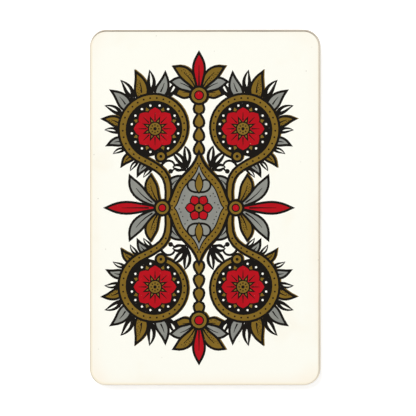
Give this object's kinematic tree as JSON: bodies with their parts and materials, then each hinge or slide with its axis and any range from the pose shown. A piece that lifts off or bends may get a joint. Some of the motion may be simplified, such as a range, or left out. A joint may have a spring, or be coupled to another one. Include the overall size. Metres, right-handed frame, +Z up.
{
  "type": "deck of playing cards",
  "caption": "Squared deck of loose playing cards lying face down, ornament back up; each round-cornered card slides off the stack on its own.",
  "frame": {"origin": "on the table, under the middle of the deck", "axes": "+Z up through the stack towards the backs, +Y along the cards' long side, +X along the short side"},
  "size_m": [0.0578, 0.0888, 0.0162],
  "materials": {
    "card_stock": "pasted two-ply card, printed both sides, satin varnish"
  },
  "bodies": {
    "ace_of_spades": {"ace_of_spades": "card_stock"},
    "two_of_spades": {"two_of_spades": "card_stock"},
    "three_of_spades": {"three_of_spades": "card_stock"},
    "four_of_spades": {"four_of_spades": "card_stock"},
    "five_of_spades": {"five_of_spades": "card_stock"},
    "six_of_spades": {"six_of_spades": "card_stock"},
    "seven_of_spades": {"seven_of_spades": "card_stock"},
    "eight_of_spades": {"eight_of_spades": "card_stock"},
    "nine_of_spades": {"nine_of_spades": "card_stock"},
    "ten_of_spades": {"ten_of_spades": "card_stock"},
    "jack_of_spades": {"jack_of_spades": "card_stock"},
    "queen_of_spades": {"queen_of_spades": "card_stock"},
    "king_of_spades": {"king_of_spades": "card_stock"},
    "ace_of_hearts": {"ace_of_hearts": "card_stock"},
    "two_of_hearts": {"two_of_hearts": "card_stock"},
    "three_of_hearts": {"three_of_hearts": "card_stock"},
    "four_of_hearts": {"four_of_hearts": "card_stock"},
    "five_of_hearts": {"five_of_hearts": "card_stock"},
    "six_of_hearts": {"six_of_hearts": "card_stock"},
    "seven_of_hearts": {"seven_of_hearts": "card_stock"},
    "eight_of_hearts": {"eight_of_hearts": "card_stock"},
    "nine_of_hearts": {"nine_of_hearts": "card_stock"},
    "ten_of_hearts": {"ten_of_hearts": "card_stock"},
    "jack_of_hearts": {"jack_of_hearts": "card_stock"},
    "queen_of_hearts": {"queen_of_hearts": "card_stock"},
    "king_of_hearts": {"king_of_hearts": "card_stock"},
    "ace_of_clubs": {"ace_of_clubs": "card_stock"},
    "two_of_clubs": {"two_of_clubs": "card_stock"},
    "three_of_clubs": {"three_of_clubs": "card_stock"},
    "four_of_clubs": {"four_of_clubs": "card_stock"},
    "five_of_clubs": {"five_of_clubs": "card_stock"},
    "six_of_clubs": {"six_of_clubs": "card_stock"},
    "seven_of_clubs": {"seven_of_clubs": "card_stock"},
    "eight_of_clubs": {"eight_of_clubs": "card_stock"},
    "nine_of_clubs": {"nine_of_clubs": "card_stock"},
    "ten_of_clubs": {"ten_of_clubs": "card_stock"},
    "jack_of_clubs": {"jack_of_clubs": "card_stock"},
    "queen_of_clubs": {"queen_of_clubs": "card_stock"},
    "king_of_clubs": {"king_of_clubs": "card_stock"},
    "ace_of_diamonds": {"ace_of_diamonds": "card_stock"},
    "two_of_diamonds": {"two_of_diamonds": "card_stock"},
    "three_of_diamonds": {"three_of_diamonds": "card_stock"},
    "four_of_diamonds": {"four_of_diamonds": "card_stock"},
    "five_of_diamonds": {"five_of_diamonds": "card_stock"},
    "six_of_diamonds": {"six_of_diamonds": "card_stock"},
    "seven_of_diamonds": {"seven_of_diamonds": "card_stock"},
    "eight_of_diamonds": {"eight_of_diamonds": "card_stock"},
    "nine_of_diamonds": {"nine_of_diamonds": "card_stock"},
    "ten_of_diamonds": {"ten_of_diamonds": "card_stock"},
    "jack_of_diamonds": {"jack_of_diamonds": "card_stock"},
    "queen_of_diamonds": {"queen_of_diamonds": "card_stock"},
    "king_of_diamonds": {"king_of_diamonds": "card_stock"},
    "red_joker": {"red_joker": "card_stock"},
    "black_joker": {"black_joker": "card_stock"}
  },
  "joints": [
    {"name": "deal_black_joker", "type": "slide", "parent": "ace_of_spades", "child": "black_joker", "axis": [1, 0, 0], "range_m": [-0.06, 0.06]},
    {"name": "deal_red_joker", "type": "slide", "parent": "ace_of_spades", "child": "red_joker", "axis": [1, 0, 0], "range_m": [-0.06, 0.06]},
    {"name": "deal_king_of_diamonds", "type": "slide", "parent": "ace_of_spades", "child": "king_of_diamonds", "axis": [1, 0, 0], "range_m": [-0.06, 0.06]},
    {"name": "deal_queen_of_diamonds", "type": "slide", "parent": "ace_of_spades", "child": "queen_of_diamonds", "axis": [1, 0, 0], "range_m": [-0.06, 0.06]},
    {"name": "deal_jack_of_diamonds", "type": "slide", "parent": "ace_of_spades", "child": "jack_of_diamonds", "axis": [1, 0, 0], "range_m": [-0.06, 0.06]},
    {"name": "deal_ten_of_diamonds", "type": "slide", "parent": "ace_of_spades", "child": "ten_of_diamonds", "axis": [1, 0, 0], "range_m": [-0.06, 0.06]},
    {"name": "deal_nine_of_diamonds", "type": "slide", "parent": "ace_of_spades", "child": "nine_of_diamonds", "axis": [1, 0, 0], "range_m": [-0.06, 0.06]},
    {"name": "deal_eight_of_diamonds", "type": "slide", "parent": "ace_of_spades", "child": "eight_of_diamonds", "axis": [1, 0, 0], "range_m": [-0.06, 0.06]},
    {"name": "deal_seven_of_diamonds", "type": "slide", "parent": "ace_of_spades", "child": "seven_of_diamonds", "axis": [1, 0, 0], "range_m": [-0.06, 0.06]},
    {"name": "deal_six_of_diamonds", "type": "slide", "parent": "ace_of_spades", "child": "six_of_diamonds", "axis": [1, 0, 0], "range_m": [-0.06, 0.06]},
    {"name": "deal_five_of_diamonds", "type": "slide", "parent": "ace_of_spades", "child": "five_of_diamonds", "axis": [1, 0, 0], "range_m": [-0.06, 0.06]},
    {"name": "deal_four_of_diamonds", "type": "slide", "parent": "ace_of_spades", "child": "four_of_diamonds", "axis": [1, 0, 0], "range_m": [-0.06, 0.06]},
    {"name": "deal_three_of_diamonds", "type": "slide", "parent": "ace_of_spades", "child": "three_of_diamonds", "axis": [1, 0, 0], "range_m": [-0.06, 0.06]},
    {"name": "deal_two_of_diamonds", "type": "slide", "parent": "ace_of_spades", "child": "two_of_diamonds", "axis": [1, 0, 0], "range_m": [-0.06, 0.06]},
    {"name": "deal_ace_of_diamonds", "type": "slide", "parent": "ace_of_spades", "child": "ace_of_diamonds", "axis": [1, 0, 0], "range_m": [-0.06, 0.06]},
    {"name": "deal_king_of_clubs", "type": "slide", "parent": "ace_of_spades", "child": "king_of_clubs", "axis": [1, 0, 0], "range_m": [-0.06, 0.06]},
    {"name": "deal_queen_of_clubs", "type": "slide", "parent": "ace_of_spades", "child": "queen_of_clubs", "axis": [1, 0, 0], "range_m": [-0.06, 0.06]},
    {"name": "deal_jack_of_clubs", "type": "slide", "parent": "ace_of_spades", "child": "jack_of_clubs", "axis": [1, 0, 0], "range_m": [-0.06, 0.06]},
    {"name": "deal_ten_of_clubs", "type": "slide", "parent": "ace_of_spades", "child": "ten_of_clubs", "axis": [1, 0, 0], "range_m": [-0.06, 0.06]},
    {"name": "deal_nine_of_clubs", "type": "slide", "parent": "ace_of_spades", "child": "nine_of_clubs", "axis": [1, 0, 0], "range_m": [-0.06, 0.06]},
    {"name": "deal_eight_of_clubs", "type": "slide", "parent": "ace_of_spades", "child": "eight_of_clubs", "axis": [1, 0, 0], "range_m": [-0.06, 0.06]},
    {"name": "deal_seven_of_clubs", "type": "slide", "parent": "ace_of_spades", "child": "seven_of_clubs", "axis": [1, 0, 0], "range_m": [-0.06, 0.06]},
    {"name": "deal_six_of_clubs", "type": "slide", "parent": "ace_of_spades", "child": "six_of_clubs", "axis": [1, 0, 0], "range_m": [-0.06, 0.06]},
    {"name": "deal_five_of_clubs", "type": "slide", "parent": "ace_of_spades", "child": "five_of_clubs", "axis": [1, 0, 0], "range_m": [-0.06, 0.06]},
    {"name": "deal_four_of_clubs", "type": "slide", "parent": "ace_of_spades", "child": "four_of_clubs", "axis": [1, 0, 0], "range_m": [-0.06, 0.06]},
    {"name": "deal_three_of_clubs", "type": "slide", "parent": "ace_of_spades", "child": "three_of_clubs", "axis": [1, 0, 0], "range_m": [-0.06, 0.06]},
    {"name": "deal_two_of_clubs", "type": "slide", "parent": "ace_of_spades", "child": "two_of_clubs", "axis": [1, 0, 0], "range_m": [-0.06, 0.06]},
    {"name": "deal_ace_of_clubs", "type": "slide", "parent": "ace_of_spades", "child": "ace_of_clubs", "axis": [1, 0, 0], "range_m": [-0.06, 0.06]},
    {"name": "deal_king_of_hearts", "type": "slide", "parent": "ace_of_spades", "child": "king_of_hearts", "axis": [1, 0, 0], "range_m": [-0.06, 0.06]},
    {"name": "deal_queen_of_hearts", "type": "slide", "parent": "ace_of_spades", "child": "queen_of_hearts", "axis": [1, 0, 0], "range_m": [-0.06, 0.06]},
    {"name": "deal_jack_of_hearts", "type": "slide", "parent": "ace_of_spades", "child": "jack_of_hearts", "axis": [1, 0, 0], "range_m": [-0.06, 0.06]},
    {"name": "deal_ten_of_hearts", "type": "slide", "parent": "ace_of_spades", "child": "ten_of_hearts", "axis": [1, 0, 0], "range_m": [-0.06, 0.06]},
    {"name": "deal_nine_of_hearts", "type": "slide", "parent": "ace_of_spades", "child": "nine_of_hearts", "axis": [1, 0, 0], "range_m": [-0.06, 0.06]},
    {"name": "deal_eight_of_hearts", "type": "slide", "parent": "ace_of_spades", "child": "eight_of_hearts", "axis": [1, 0, 0], "range_m": [-0.06, 0.06]},
    {"name": "deal_seven_of_hearts", "type": "slide", "parent": "ace_of_spades", "child": "seven_of_hearts", "axis": [1, 0, 0], "range_m": [-0.06, 0.06]},
    {"name": "deal_six_of_hearts", "type": "slide", "parent": "ace_of_spades", "child": "six_of_hearts", "axis": [1, 0, 0], "range_m": [-0.06, 0.06]},
    {"name": "deal_five_of_hearts", "type": "slide", "parent": "ace_of_spades", "child": "five_of_hearts", "axis": [1, 0, 0], "range_m": [-0.06, 0.06]},
    {"name": "deal_four_of_hearts", "type": "slide", "parent": "ace_of_spades", "child": "four_of_hearts", "axis": [1, 0, 0], "range_m": [-0.06, 0.06]},
    {"name": "deal_three_of_hearts", "type": "slide", "parent": "ace_of_spades", "child": "three_of_hearts", "axis": [1, 0, 0], "range_m": [-0.06, 0.06]},
    {"name": "deal_two_of_hearts", "type": "slide", "parent": "ace_of_spades", "child": "two_of_hearts", "axis": [1, 0, 0], "range_m": [-0.06, 0.06]},
    {"name": "deal_ace_of_hearts", "type": "slide", "parent": "ace_of_spades", "child": "ace_of_hearts", "axis": [1, 0, 0], "range_m": [-0.06, 0.06]},
    {"name": "deal_king_of_spades", "type": "slide", "parent": "ace_of_spades", "child": "king_of_spades", "axis": [1, 0, 0], "range_m": [-0.06, 0.06]},
    {"name": "deal_queen_of_spades", "type": "slide", "parent": "ace_of_spades", "child": "queen_of_spades", "axis": [1, 0, 0], "range_m": [-0.06, 0.06]},
    {"name": "deal_jack_of_spades", "type": "slide", "parent": "ace_of_spades", "child": "jack_of_spades", "axis": [1, 0, 0], "range_m": [-0.06, 0.06]},
    {"name": "deal_ten_of_spades", "type": "slide", "parent": "ace_of_spades", "child": "ten_of_spades", "axis": [1, 0, 0], "range_m": [-0.06, 0.06]},
    {"name": "deal_nine_of_spades", "type": "slide", "parent": "ace_of_spades", "child": "nine_of_spades", "axis": [1, 0, 0], "range_m": [-0.06, 0.06]},
    {"name": "deal_eight_of_spades", "type": "slide", "parent": "ace_of_spades", "child": "eight_of_spades", "axis": [1, 0, 0], "range_m": [-0.06, 0.06]},
    {"name": "deal_seven_of_spades", "type": "slide", "parent": "ace_of_spades", "child": "seven_of_spades", "axis": [1, 0, 0], "range_m": [-0.06, 0.06]},
    {"name": "deal_six_of_spades", "type": "slide", "parent": "ace_of_spades", "child": "six_of_spades", "axis": [1, 0, 0], "range_m": [-0.06, 0.06]},
    {"name": "deal_five_of_spades", "type": "slide", "parent": "ace_of_spades", "child": "five_of_spades", "axis": [1, 0, 0], "range_m": [-0.06, 0.06]},
    {"name": "deal_four_of_spades", "type": "slide", "parent": "ace_of_spades", "child": "four_of_spades", "axis": [1, 0, 0], "range_m": [-0.06, 0.06]},
    {"name": "deal_three_of_spades", "type": "slide", "parent": "ace_of_spades", "child": "three_of_spades", "axis": [1, 0, 0], "range_m": [-0.06, 0.06]},
    {"name": "deal_two_of_spades", "type": "slide", "parent": "ace_of_spades", "child": "two_of_spades", "axis": [1, 0, 0], "range_m": [-0.06, 0.06]}
  ]
}
